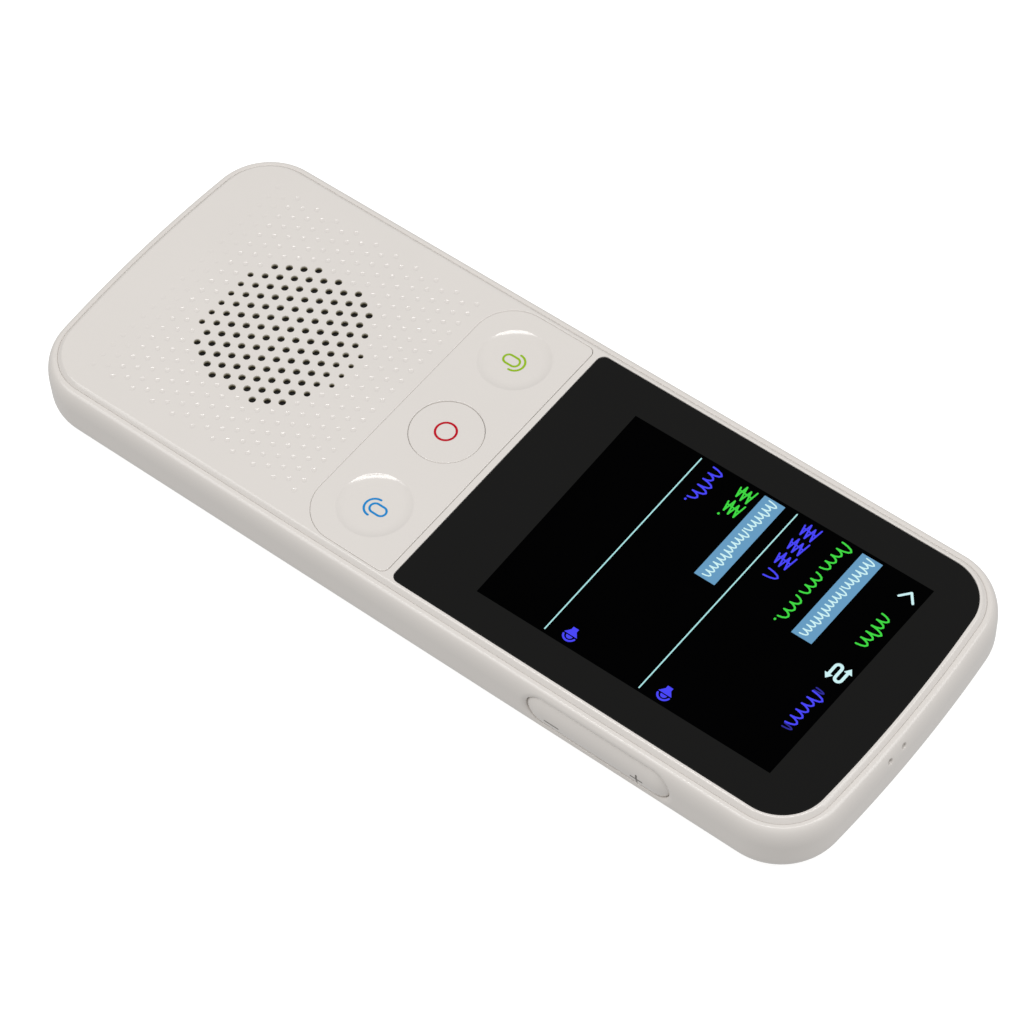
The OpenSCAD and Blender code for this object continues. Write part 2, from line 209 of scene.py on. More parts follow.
def join(obj, *others):
    """Adds the other objects' faces to obj's mesh."""
    bm = bmesh.new()
    bm.from_mesh(obj.data)
    for o in others:
        bm.from_mesh(o.data)
        bpy.data.objects.remove(o)
    bm.to_mesh(obj.data)
    bm.free()
    return obj


def shade(obj, angle=38, pins=()):
    """Smooth shading with sharp edges past an angle. pins are (test of points in mm, normal) for flats that stay flat."""
    me = obj.data
    me.shade_smooth()
    me.set_sharp_from_angle(angle=math.radians(angle))
    if pins:
        n = np.empty(len(me.loops) * 3, np.float32)
        me.corner_normals.foreach_get("vector", n)
        n = n.reshape(-1, 3)
        vi = np.empty(len(me.loops), np.int32)
        me.loops.foreach_get("vertex_index", vi)
        co = np.empty(len(me.vertices) * 3, np.float32)
        me.vertices.foreach_get("co", co)
        co = co.reshape(-1, 3)[vi] / MM
        for test, normal in pins:
            normal = np.array(normal, np.float32)
            n[test(co) & (n @ normal > 0.6)] = normal
        me.normals_split_custom_set(n.tolist())
    return obj


def piece(obj, body, *nodes, slot=None, mats=()):
    for m in mats:
        obj.data.materials.append(m)
    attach(obj, body)
    if nodes:
        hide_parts(*nodes)
    return obj


# ------------------------------------------------------------------ outlines
def arc_pts(x, y, r, a0, a1, n, first=True, last=True):
    return [(x + r * math.cos(math.radians(a0 + (a1 - a0) * i / n)), y + r * math.sin(math.radians(a0 + (a1 - a0) * i / n)))
            for i in range(0 if first else 1, n + 1 if last else n)]


def columns(side, far, corner_n=24, end_n=68):
    """Points of the plan outline as (origin x, y, normal x, y, radius); side and far are y values on the +X and -X walls."""
    c = [(0.0, y, 1.0, 0.0, HW) for y in side]
    def arc(x, y, r, a0, a1, n, drop=0):
        for i in range(1, n + 1 - drop):
            a = math.radians(a0 + (a1 - a0) * i / n)
            c.append((x, y, math.cos(a), math.sin(a), r))
    arc(CX, CY, CR, 0, CA, corner_n)
    arc(0, EY, ER, CA, 180 - CA, end_n)
    arc(-CX, CY, CR, 180 - CA, 180, corner_n)
    c.extend((0.0, y, -1.0, 0.0, HW) for y in far)
    arc(-CX, -CY, CR, 180, 180 + CA, corner_n)
    arc(0, -EY, ER, 180 + CA, 360 - CA, end_n)
    arc(CX, -CY, CR, 360 - CA, 360, corner_n, 1)
    return c


def ring_of(cols, d, z):
    return [(ox + (r - d) * nx, oy + (r - d) * ny, z) for ox, oy, nx, ny, r in cols]


def glass_loop(d, z, side_n=24):
    """Outline of the touch glass, moved inwards by d."""
    x1, y0, r = 24.0 - d, -1.75, 1.2 - d
    p = [(x1, y0 + 1.2 + (CY - y0 - 1.2) * i / side_n) for i in range(side_n)]
    p += arc_pts(CX, CY, CR - 2.8 - d, 0, CA, 24, last=False)
    p += arc_pts(0, EY, ER - 2.8 - d, CA, 180 - CA, 32, last=False)
    p += arc_pts(-CX, CY, CR - 2.8 - d, 180 - CA, 180, 24, last=False)
    p += [(-x1, CY + (y0 + 1.2 - CY) * i / side_n) for i in range(side_n)]
    p += arc_pts(-22.8, y0 + 1.2, r, 180, 270, 8, last=False)
    p += [(-22.8 + 45.6 * i / side_n, y0 + d) for i in range(side_n)]
    p += arc_pts(22.8, y0 + 1.2, r, 270, 360, 8, last=False)
    return [(x, y, z) for x, y in p]


def panel_loop(d, z, n=20, more=0.0):
    """Outline of the key panel, moved inwards by d, and moved towards the speaker by more."""
    x1, y0, y1, r0, r1 = 23.965 - d, -19.29 + d - more, -2.91 - d - 2.5 * more, 6.3 - d, 1.1 - d
    p = [(x1, y0 + r0 + (y1 - r1 - y0 - r0) * i / 8) for i in range(8)]
    p += arc_pts(x1 - r1, y1 - r1, r1, 0, 90, 8, last=False)
    p += [(x1 - r1 - 2 * (x1 - r1) * i / n, y1) for i in range(n)]
    p += arc_pts(-x1 + r1, y1 - r1, r1, 90, 180, 8, last=False)
    p += [(-x1, y1 - r1 + (y0 + r0 - y1 + r1) * i / 8) for i in range(8)]
    p += arc_pts(-x1 + r0, y0 + r0, r0, 180, 270, 24, last=False)
    p += [(-x1 + r0 + 2 * (x1 - r0) * i / n, y0) for i in range(n)]
    p += arc_pts(x1 - r0, y0 + r0, r0, 270, 360, 24, last=False)
    return [(x, y, z) for x, y in p]


def circle(x, y, r, z, n, turn=0.0):
    return [(x + r * math.cos(2 * math.pi * (i + turn) / n), y + r * math.sin(2 * math.pi * (i + turn) / n), z) for i in range(n)]


def stadium(u, v, half, r, n_arc=24, n_side=37, upright=False):
    """Round-ended bar about (u, v), half long from the middle to its tip."""
    s = half - r
    p = [(-s + 2 * s * i / n_side, -r) for i in range(n_side)]
    p += arc_pts(s, 0, r, -90, 90, n_arc, last=False)
    p += [(s - 2 * s * i / n_side, r) for i in range(n_side)]
    p += arc_pts(-s, 0, r, 90, 270, n_arc, last=False)
    return [(u - q[1], v + q[0]) if upright else (u + q[0], v + q[1]) for q in p]


def bar(p, q, w, n=8):
    """Stroke with round ends from p to q."""
    a = math.degrees(math.atan2(q[1] - p[1], q[0] - p[0]))
    return arc_pts(q[0], q[1], w / 2, a - 90, a + 90, n) + arc_pts(p[0], p[1], w / 2, a + 90, a + 270, n)


def long_bar(p, q, w, n=12):
    """Like bar, with points along its sides, for a curved place."""
    a = math.atan2(q[1] - p[1], q[0] - p[0])
    s, c = math.sin(a) * w / 2, math.cos(a) * w / 2
    side = [(p[0] + (q[0] - p[0]) * i / n, p[1] + (q[1] - p[1]) * i / n) for i in range(1, n)]
    d = math.degrees(a)
    return ([(x + s, y - c) for x, y in side] + arc_pts(q[0], q[1], w / 2, d - 90, d + 90, 8)
            + [(x - s, y + c) for x, y in side[::-1]] + arc_pts(p[0], p[1], w / 2, d + 90, d + 270, 8))


def bow(x, y, r, a0, a1, w, n=28):
    """Stroke along an arc, with round ends."""
    r0, r1 = math.radians(a0), math.radians(a1)
    out = arc_pts(x, y, r + w / 2, a0, a1, n)
    out += arc_pts(x + r * math.cos(r1), y + r * math.sin(r1), w / 2, a1, a1 + 180, 6, first=False, last=False)
    out += arc_pts(x, y, r - w / 2, a1, a0, n)
    out += arc_pts(x + r * math.cos(r0), y + r * math.sin(r0), w / 2, a0 + 180, a0 + 360, 6, first=False, last=False)
    return out


def soft_box(x0, y0, x1, y1, r, n=5):
    return (arc_pts(x1 - r, y1 - r, r, 0, 90, n) + arc_pts(x0 + r, y1 - r, r, 90, 180, n)
            + arc_pts(x0 + r, y0 + r, r, 180, 270, n) + arc_pts(x1 - r, y0 + r, r, 270, 360, n))


# ------------------------------------------------------------------ materials
def new_mat(name):
    m = bpy.data.materials.new(name)
    m.use_nodes = True
    nt = m.node_tree
    nt.nodes.clear()
    out = nt.nodes.new("ShaderNodeOutputMaterial")
    b = nt.nodes.new("ShaderNodeBsdfPrincipled")
    nt.links.new(b.outputs[0], out.inputs[0])
    return m, nt, b


def node(nt, kind, **values):
    n = nt.nodes.new(kind)
    for k, v in values.items():
        if k.startswith("_"):
            setattr(n, k[1:], v)
        else:
            n.inputs[k.replace("_", " ")].default_value = v
    return n


def surface(name, rgb, rough=0.35, rough_var=0.05, tint=0.03, grain=3.0e-6, grain_scale=5200.0, cloud=140.0,
            metallic=0.0, spec=0.5, coat=0.0, sss=0.0, stretch=(1, 1, 1)):
    """Moulded, painted or metal surface: slow colour and gloss changes, and a fine grain as bump."""
    m, nt, b = new_mat(name)
    co = node(nt, "ShaderNodeTexCoord")
    mp = node(nt, "ShaderNodeMapping", Scale=stretch)
    nt.links.new(co.outputs["Object"], mp.inputs["Vector"])
    n1 = node(nt, "ShaderNodeTexNoise", Scale=cloud, Detail=3.0, Roughness=0.55)
    n2 = node(nt, "ShaderNodeTexNoise", Scale=grain_scale, Detail=2.0, Roughness=0.6)
    for n in (n1, n2):
        nt.links.new(mp.outputs[0], n.inputs["Vector"])
    ramp = node(nt, "ShaderNodeValToRGB")
    e = ramp.color_ramp.elements
    e[0].position, e[1].position = 0.3, 0.7
    e[0].color = [c * (1 - tint) for c in rgb] + [1]
    e[1].color = [min(1.0, c * (1 + tint)) for c in rgb] + [1]
    nt.links.new(n1.outputs["Fac"], ramp.inputs["Fac"])
    nt.links.new(ramp.outputs["Color"], b.inputs["Base Color"])
    rr = node(nt, "ShaderNodeMapRange")
    rr.inputs["To Min"].default_value = max(0.0, rough - rough_var)
    rr.inputs["To Max"].default_value = min(1.0, rough + rough_var)
    nt.links.new(n2.outputs["Fac"], rr.inputs["Value"])
    nt.links.new(rr.outputs["Result"], b.inputs["Roughness"])
    bp = node(nt, "ShaderNodeBump", Strength=1.0, Distance=grain)
    nt.links.new(n2.outputs["Fac"], bp.inputs["Height"])
    nt.links.new(bp.outputs["Normal"], b.inputs["Normal"])
    b.inputs["Metallic"].default_value = metallic
    b.inputs["Specular IOR Level"].default_value = spec
    b.inputs["Coat Weight"].default_value = coat
    if sss:
        b.inputs["Subsurface Weight"].default_value = sss
        b.inputs["Subsurface Radius"].default_value = (1.0, 0.9, 0.8)
        b.inputs["Subsurface Scale"].default_value = 0.0006
    return m


def lit(name, rgb, strength=1.0):
    """Lit area of the display, with its faint pixel grid."""
    m, nt, b = new_mat(name)
    co = node(nt, "ShaderNodeTexCoord")
    wx = node(nt, "ShaderNodeTexWave", _wave_type="BANDS", _bands_direction="X", Scale=2600.0)
    nt.links.new(co.outputs["Object"], wx.inputs["Vector"])
    ramp = node(nt, "ShaderNodeValToRGB")
    e = ramp.color_ramp.elements
    e[0].color = [c * 0.97 for c in rgb] + [1]
    e[1].color = list(rgb) + [1]
    nt.links.new(wx.outputs["Fac"], ramp.inputs["Fac"])
    nt.links.new(ramp.outputs["Color"], b.inputs["Emission Color"])
    b.inputs["Emission Strength"].default_value = strength
    b.inputs["Base Color"].default_value = (0.01, 0.01, 0.01, 1)
    b.inputs["Specular IOR Level"].default_value = 0.0
    b.inputs["Roughness"].default_value = 0.9
    return m


SHELL = (0.735, 0.700, 0.668)
m_shell = surface("white_shell", SHELL, rough=0.19, rough_var=0.03, tint=0.008, grain=1.0e-6, grain_scale=6500.0, cloud=60.0, spec=0.8)
m_cover = surface("white_cover", SHELL, rough=0.145, rough_var=0.025, tint=0.008, grain=1.0e-6, grain_scale=6500.0, cloud=55.0, spec=1.0)
# painted shade: this material colours the walls of the sound holes from the shell white at the rim to near black at the
# bottom, standing in for the shade inside the holes
m_hole_painted_shade = surface("hole_wall_painted_shade", (0.11, 0.10, 0.075), rough=0.6, tint=0.05, grain=1.0e-6, cloud=300.0, spec=0.2)


def paint_shade_down(m, stops):
    """Paints shade on the walls of the sound holes by their height, from the shell white at the rim to near black at
    the bottom: stops are (z in mm, colour), lowest first.
    """
    nt = m.node_tree
    b = [n for n in nt.nodes if n.type == "BSDF_PRINCIPLED"][0]
    co = node(nt, "ShaderNodeTexCoord")
    xyz = node(nt, "ShaderNodeSeparateXYZ")
    nt.links.new(co.outputs["Object"], xyz.inputs[0])
    rr = node(nt, "ShaderNodeMapRange")
    rr.inputs["From Min"].default_value = stops[0][0] * MM
    rr.inputs["From Max"].default_value = stops[-1][0] * MM
    nt.links.new(xyz.outputs["Z"], rr.inputs["Value"])
    ramp = node(nt, "ShaderNodeValToRGB")
    e = ramp.color_ramp.elements
    for i, (z, c) in enumerate(stops):
        t = (z - stops[0][0]) / (stops[-1][0] - stops[0][0])
        k = e[0] if i == 0 else e[-1] if i == len(stops) - 1 else e.new(t)
        k.position, k.color = t, (*c, 1)
    nt.links.new(rr.outputs["Result"], ramp.inputs["Fac"])
    nt.links.new(ramp.outputs["Color"], b.inputs["Base Color"])


# painted shade: the stops darken the hole walls towards the bottom of the holes
paint_shade_down(m_hole_painted_shade, ((10.25, (0.008, 0.007, 0.006)), (10.3, (0.02, 0.018, 0.012)), (10.42, (0.10, 0.087, 0.055)), (10.58, (0.32, 0.29, 0.195)), (10.76, (0.54, 0.51, 0.40)), (10.92, SHELL)))
m_keys = surface("white_keys", SHELL, rough=0.145, rough_var=0.025, tint=0.008, grain=1.0e-6, grain_scale=6500.0, cloud=70.0, spec=1.0)
m_glass = surface("black_glass", (0.0035, 0.0035, 0.0033), rough=0.06, rough_var=0.01, tint=0.05, grain=1.0e-8, cloud=40.0, spec=0.18)
m_screen = surface("display_off", (0.0008, 0.0008, 0.0009), rough=0.5, rough_var=0.02, tint=0.1, grain=1.0e-8, cloud=90.0, spec=0.0)
m_red = surface("ink_red", (0.50, 0.002, 0.016), rough=0.45, grain=1.0e-6, cloud=400.0, tint=0.05, spec=0.1)
m_green = surface("ink_green", (0.29, 0.48, 0.015), rough=0.45, grain=1.0e-6, cloud=400.0, tint=0.05, spec=0.1)
m_blue = surface("ink_blue", (0.01, 0.24, 0.60), rough=0.45, grain=1.0e-6, cloud=400.0, tint=0.05, spec=0.1)
m_grey = surface("ink_grey", (0.21, 0.195, 0.18), rough=0.5, grain=1.0e-6, cloud=400.0, tint=0.05)
l_green = lit("lit_green", (0.045, 0.70, 0.05))
l_blue = lit("lit_blue", (0.06, 0.055, 0.95))
l_cyan = lit("lit_cyan", (0.42, 0.80, 0.80))
l_label = lit("lit_label", (0.13, 0.33, 0.54))
l_white = lit("lit_white", (0.62, 0.90, 0.92))
l_dim = lit("lit_dim", (0.02, 0.018, 0.3))

# ------------------------------------------------------------------ rear shell
def inset_of(z):
    if z < 4:
        return 4.2 * (1 - math.sqrt(max(0.0, 1 - (1 - z / 4) ** 2)))
    if z <= 7:
        return 0.0
    return 1.35 * (1 - math.sqrt(max(0.0, 1 - ((z - 7) / 3.38) ** 2)))


side_y = sorted({round(-CY + 2 * CY * i / 29, 4) for i in range(30) if not 20 < -CY + 2 * CY * i / 29 < 50.5}
                | {round(20.3 + 0.5 * i, 4) for i in range(61)})
side_y[0], side_y[-1] = -CY, CY
far_y = [CY - 2 * CY * i / 29 for i in range(1, 30)]
cols = columns(side_y, far_y)
rows = [4 * (1 - math.cos(math.radians(a))) for a in range(0, 90, 6)]
rows += [4, 4.5, 5, 5.5, 6, 6.5, 7]
rows += [7 + 3.38 * math.sin(math.radians(a)) for a in range(5, 91, 5)]

shell = Build()
grid = [shell.pts(ring_of(cols, inset_of(z), z)) for z in rows]
skip = set()


def wall_patch(c0, c1, r0, r1, uv_of, point, rings, wall, keep_off):
    """Replaces the grid's cells in a block by a fan of triangles, rings and a wall round an opening. rings are lists of (u, z, depth); wall is the list of
    deep points of the opening."""
    skip.update((r, c) for r in range(r0, r1) for c in range(c0, c1))
    border = ([grid[r0][c] for c in range(c0, c1)] + [grid[r][c1] for r in range(r0, r1)]
              + [grid[r1][c] for c in range(c1, c0, -1)] + [grid[r][c0] for r in range(r1, r0, -1)])
    uv = {grid[r][c]: (uv_of(c), rows[r]) for r in range(r0, r1 + 1) for c in range(c0, c1 + 1)}
    extra = [grid[r][c] for r in range(r0 + 1, r1) for c in range(c0 + 1, c1) if keep_off(uv_of(c), rows[r])]
    made = []
    for ring in rings:
        ids = shell.pts(point(u, z, d) for u, z, d in ring)
        for i, (u, z, d) in zip(ids, ring):
            uv[i] = (u, z)
        made.append(ids)
    shell.fill([border, made[0]], extra, uv=lambda i: uv[i])
    for a, b in zip(made, made[1:]):
        shell.strip(a, b)
    deep = shell.pts(wall)
    shell.strip(made[-1], deep)
    shell.face(deep)


def dist_stadium(u, v, cu, cv, half, r):
    s = half - r
    return math.hypot(max(0.0, abs(u - cu) - s), v - cv) - r


# slot of the volume rocker, with its soft scooped surround
def scoop(d, width=0.95, depth=0.34):
    return depth * (1 - d / width) ** 2 if d < width else 0.0


c_lo = min(range(len(side_y)), key=lambda i: abs(side_y[i] - 21.3))
c_hi = min(range(len(side_y)), key=lambda i: abs(side_y[i] - 49.3))
r_lo = max(i for i, z in enumerate(rows) if z < 1.8)
r_hi = max(i for i, z in enumerate(rows) if z < 10.25)
slot_rings = []
for d, more in ((0.95, 0), (0.8, 0), (0.65, 0), (0.5, 0), (0.36, 0), (0.24, 0), (0.14, 0), (0.08, 0.01), (0.03, 0.03), (0.0, 0.08)):
    slot_rings.append([(y, z, scoop(d) + more) for y, z in stadium(ROK_Y, ROK_Z, 11.97 + d, 2.81 + d)])
wall_patch(c_lo, c_hi, r_lo, r_hi, lambda c: side_y[c], lambda u, z, d: (HW - inset_of(z) - d, u, z), slot_rings,
           [(24.5, y, z) for y, z in stadium(ROK_Y, ROK_Z, 11.97, 2.81)],
           lambda u, z: dist_stadium(u, z, ROK_Y, ROK_Z, 11.97, 2.81) > 1.15)


# openings in the two ends: u is 235 times the cosine of the outline's angle
def end_point(sign):
    def point(u, z, d):
        r = ER - inset_of(z)
        x = u / ER * r
        return (x, sign * (EY + math.sqrt(r * r - x * x) - d), z)
    return point


def end_ring(pts, depth):
    return [(x * ER / (ER - inset_of(z)), z, depth) for x, z in pts]


first_end = len(side_y) + 24 - 1                     # column of the +Y end's first point
second_end = len(side_y) + 24 + 68 + 24 + len(far_y) + 24 - 1
def end_u(first, sign):
    return lambda c: sign * ER * math.cos(math.radians(CA + (180 - 2 * CA) * (c - first) / 68))


def end_patch(first, sign, xs, z0, z1, shape, deep_y, margin, edge):
    uo = end_u(first, 1 if sign > 0 else -1)
    cs = sorted((c for c in range(first, first + 69) if xs[0] <= uo(c) <= xs[1]))
    r0 = max(i for i, z in enumerate(rows) if z <= z0)
    r1 = min(i for i, z in enumerate(rows) if z >= z1)
    rings = [end_ring(shape(d), dep) for d, dep in edge]
    wall_patch(cs[0], cs[-1], r0, r1, uo, end_point(sign), rings, [(x, sign * deep_y, z) for x, z in shape(0)],
               lambda u, z: margin(u, z) > 0.28)


soft_edge = ((0.16, 0.0), (0.11, 0.012), (0.05, 0.05), (0.015, 0.1), (0.0, 0.16))
for mx in (3.3, 6.4):
    end_patch(first_end, 1, (mx - 1.45, mx + 1.45), 7.6, 9.7,
              lambda d, mx=mx: [p[:2] for p in circle(mx, 8.7, 0.45 + d, 0, 28)], 66.0,
              lambda u, z, mx=mx: math.hypot(u - mx, z - 8.7) - 0.6, soft_edge)
end_patch(second_end, -1, (-6.2, 6.2), 2.0, 8.2,
          lambda d: stadium(0, 5.0, 4.62 + d, 1.75 + d, 20, 13), 66.0,
          lambda u, z: dist_stadium(u, z, 0, 5.0, 4.62, 1.75) - 0.16,
          ((0.3, 0.0), (0.2, 0.015), (0.1, 0.06), (0.03, 0.15), (0.0, 0.26)))

for r in range(len(rows) - 1):
    for c in range(len(cols)):
        if (r, c) not in skip:
            d = (c + 1) % len(cols)
            shell.face((grid[r][c], grid[r][d], grid[r + 1][d], grid[r + 1][c]))
shell.face(grid[0])
last = grid[-1]
for d, z in ((1.5, 10.38), (1.6, 10.376), (1.66, 10.362), (1.7, 10.335), (1.72, 10.29), (1.72, 9.3)):
    nxt = shell.pts(ring_of(cols, d, z))
    shell.strip(last, nxt)
    last = nxt
shell.face(last)
shell_back = shell.mesh("shell_back")

coarse = columns([-CY + 2 * CY * i / 12 for i in range(13)], [CY - 2 * CY * i / 12 for i in range(1, 13)], 12, 8)
hollow = Build()
levels = [(4, 1.3), (2.9, 1.7), (2.2, 2.3), (1.7, 3.2), (1.5, 4.2), (1.5, 8.5), (2.2, 8.5), (2.2, 12.0)]
hr = [hollow.pts(ring_of(coarse, d, z)) for d, z in levels]
for a, b in zip(hr, hr[1:]):
    hollow.strip(a, b)
hollow.face(hr[0])
hollow.face(hr[-1])
pocket = Build()
pocket.box(24.3, ROK_Y - 13.1, 8.4, 25.3, ROK_Y + 13.1, 9.35)
cut(shell_back, hollow.mesh("hollow"), pocket.mesh("pocket"))
ribs = Build()
ribs.box(-20.6, 2.9, 1.2, 20.6, 3.7, 3.2)
ribs.box(-20.6, 58.3, 1.2, 20.6, 59.1, 3.2)
ribs.box(-10.6, -63.6, 1.2, -8.6, -57.6, 2.6)
ribs.box(6.2, -63.6, 1.2, 8.2, -57.6, 2.6)
join(shell_back, ribs.mesh("ribs"))
shade(shell_back, 40, [(lambda p: p[:, 2] < 1e-4, (0, 0, -1))])
piece(shell_back, "case", "back_case", slot="white_shell", mats=[m_shell])

# ------------------------------------------------------------------ front cover
cover = Build()
plan = columns([-CY + 2 * CY * i / 40 for i in range(41)], [CY - 2 * CY * i / 40 for i in range(1, 41)], 24, 40)
edge = [cover.pts(ring_of(plan, d, z)) for d, z in ((1.735, 9.3), (1.735, 10.29), (1.74, 10.325), (1.765, 10.365))]
for a in range(48, -1, -6):
    t = math.radians(a)
    edge.append(cover.pts(ring_of(plan, 2.58 - 0.45 * math.sin(t), 10.55 + 0.45 * math.cos(t))))
for a, b in zip(edge, edge[1:]):
    cover.strip(a, b)
top_loops, low_loops = [edge[-1]], [edge[0]]

# recess of the glass and the window of the display
lip = [cover.pts(glass_loop(d, z)) for d, z in ((-0.12, TOP), (-0.1, 10.996), (-0.08, 10.985), (-0.065, 10.965), (-0.055, 10.935), (-0.05, 10.89), (-0.05, 10.05))]
for a, b in zip(lip, lip[1:]):
    cover.strip(a, b)
top_loops.append(lip[0])
window = [[(x, y, z) for x, y in ((-21.7, 0.1), (21.7, 0.1), (21.7, 60.6), (-21.7, 60.6))] for z in (10.05, 9.3)]
w_top, w_low = cover.pts(window[0]), cover.pts(window[1])
cover.strip(w_top, w_low)
cover.fill([lip[-1], w_top])
low_loops.append(w_low)

# opening of the key panel
open_edge = [cover.pts(panel_loop(-0.075 - d, z)) for d, z in
             ((0.13, TOP), (0.1, 10.996), (0.065, 10.98), (0.035, 10.953), (0.01, 10.91), (0.0, 10.86), (0.0, 9.3))]
for a, b in zip(open_edge, open_edge[1:]):
    cover.strip(a, b)
top_loops.append(open_edge[0])
low_loops.append(open_edge[-1])

# sound holes
counts = [6, 9, 10, 11, 12, 11, 12, 11, 12, 11, 10, 7, 4]
taken = set()
room = [cover.pts(circle(0, SPK_Y, 14.6, z, 96)) for z in (9.3, 10.25)]
cover.strip(room[0], room[1])
low_loops.append(room[0])
grille_loops = [room[1]]
for k, n in enumerate(counts):
    for i in range(n):
        x, y = (i - (n - 1) / 2) * PITCH, SPK_Y + (k - 6) * ROW
        taken.add((round(x / PITCH * 2), k - 6))
        r = 0.55 * {0: 0.84, 1: 0.94, 11: 0.9, 12: 0.74}.get(k, 1)
        rings = [cover.pts(circle(x, y, rr, z, 24)) for rr, z in ((r + 0.04, TOP), (r + 0.015, 10.99), (r, 10.965), (r, 10.6), (r, 10.25))]
        # the hole walls below the rounded rim take the second material, whose colour is painted shade, darker towards
        # the bottom
        for a, b, mat in zip(rings, rings[1:], (0, 1, 1, 1)):
            cover.strip(a, b, mat)
        top_loops.append(rings[0])
        grille_loops.append(rings[-1])

# shallow dimples on the same grid
for j in range(-10, 11):
    odd = j % 2
    xs = [PITCH * (i - 9) for i in range(19)] if odd else [PITCH * (i - 9.5) for i in range(20)]
    fade = 1.0 if j > -9 else 0.6
    for x in xs:
        if (round(x / PITCH * 2), j) in taken:
            continue
        y = SPK_Y + j * ROW
        if abs(x) > 24.4 - 1.0 or y < -HL + 4:
            continue
        r, dep = 0.43, 0.12 * fade
        rings = [cover.pts(circle(x, y, r * s, TOP - dep * (1 - s * s), 18)) for s in (1, 0.95, 0.86, 0.72, 0.52, 0.28)]
        for a, b in zip(rings, rings[1:]):
            cover.strip(a, b)
        cover.fan(rings[-1], cover.pts([(x, y, TOP - dep)])[0])
        top_loops.append(rings[0])

cover.fill(top_loops)
cover.fill(low_loops)
cover.fill(grille_loops)
cover_front = cover.mesh("cover_front")
sockets = []
for y0, y1 in ((-3.9, -2.0), (-20.4, -18.3)):
    s = Build()
    u = [(-0.61, 9.0), (0.61, 9.0)] + arc_pts(0, 9.75, 0.61, 0, 180, 16)
    a, b = s.pts((x, y0, z) for x, z in u), s.pts((x, y1, z) for x, z in u)
    s.strip(a, b)
    s.face(a)
    s.face(b)
    sockets.append(s.mesh("socket"))
# skirt with its clips, and the four screw posts
skirt = Build()
outer = ring_of(coarse, 2.3, 0)
inner = ring_of(coarse, 3.1, 0)
so = [skirt.pts([(x, y, z) for x, y, _ in outer]) for z in (8.0, 9.34)]
si = [skirt.pts([(x, y, z) for x, y, _ in inner]) for z in (8.0, 9.34)]
skirt.strip(so[0], so[1])
skirt.strip(si[1], si[0])
skirt.strip(so[0], si[0])
skirt.strip(so[1], si[1])
skirt_o = skirt.mesh("skirt")
gaps = Build()
gaps.box(22, ROK_Y - 14, 7, 30, ROK_Y + 14, 9.5)
gap2 = Build()
gap2.box(0.6, 60, 7, 9.1, 70, 9.5)
rock_l, rock_r = Build(), Build()
rock_r.box(20, -20.6, 8.75, 24.2, -1.6, 9.6)
rock_l.box(-24.2, -20.6, 8.75, -20, -1.6, 9.6)
cut(skirt_o, gaps.mesh("gap"), gap2.mesh("gap2"), rock_r.mesh("rock_r"), rock_l.mesh("rock_l"))
posts = Build()
for s in (-1, 1):
    for y in (-48, -25, 8):
        posts.box(24.4 if s > 0 else -24.9, y - 2.5, 8.1, 24.9 if s > 0 else -24.4, y + 2.5, 8.55)
for x, y in ((18.5, 62.65), (-18.5, 62.65), (20.3, -22.3), (-20.3, -22.3)):
    posts.rod((x, y, 6.3), (x, y, 9.34), 1.8, 32, 0.85)
cut(cover_front, *sockets)
join(cover_front, skirt_o, posts.mesh("posts"))
shade(cover_front, 38, [(lambda p: p[:, 2] > TOP - 1e-4, (0, 0, 1))])
# the second material is the painted shade on the sound-hole walls
piece(cover_front, "case", "front_cover", slot="white_shell", mats=[m_cover, m_hole_painted_shade])

# ------------------------------------------------------------------ touch glass with its black border and lit display
def lean(u, v):
    """The display's picture converges slightly towards its far right corner."""
    return (u, v - 1.75 - (u + 17.6) * (0.0056 + 0.00065 * (v - 22.2)))


glass = Build()
g = [glass.pts(glass_loop(d, z)) for d, z in ((0.0, 10.2), (0.0, 10.84), (0.015, 10.89), (0.05, 10.93), (0.1, 10.95))]
for a, b in zip(g, g[1:]):
    glass.strip(a, b)
rect = glass.pts([(*lean(u, v), 10.95) for u, v in ((-18.05, 10.38), (18.7, 10.78), (18.45, 60.55), (-18.2, 60.55))])
glass.fill([g[-1], rect])
glass.face(rect, 1)
glass.face(g[0])
glass_front = shade(glass.mesh("glass_front"), 38, [(lambda p: p[:, 2] > 10.9499, (0, 0, 1))])
piece(glass_front, "case", "touch_glass", slot="black_glass", mats=[m_glass, m_screen])

ui = Build()
flat = lambda u, v, h: (*lean(u, v), 10.951 + h)
on_label = lambda u, v, h: (*lean(u, v), 10.960 + h)
GREEN, BLUE, CYAN, LABEL, WHITE, DIM = range(6)


def stroke(points, w, colour, place=flat):
    ui.prism([bar(a, b, w, 4) for a, b in zip(points, points[1:])], place=place, high=0.008, mat=colour)


def waves(x, y, heights, step, w, colour, place=flat):
    """A running line of loops. heights has one height for each loop."""
    line = []
    for h in heights:
        line += [(x + step * (i / 8 - 0.16 * math.sin(2 * math.pi * i / 8)), y + w / 2 + (h - w) * (0.5 - 0.5 * math.cos(2 * math.pi * i / 8))) for i in range(8)]
        x += step
    stroke(line + [(x, y + w / 2)], w, colour, place)


def hatch(x, y, side, w, colour):
    """A dense zigzag with one long stroke through it."""
    a, b = x + w / 2, x + side - w / 2
    stroke([(a, y + side * 0.98), (b, y + side * 0.86), (a + side * 0.12, y + side * 0.66), (b, y + side * 0.5), (a, y + side * 0.32),
            (b - side * 0.08, y + side * 0.18), (a + side * 0.2, y + w / 2)], w, colour)
    stroke([(x + side * 0.5, y + side * 0.93), (x + side * 0.42, y + side * 0.1)], w, colour)


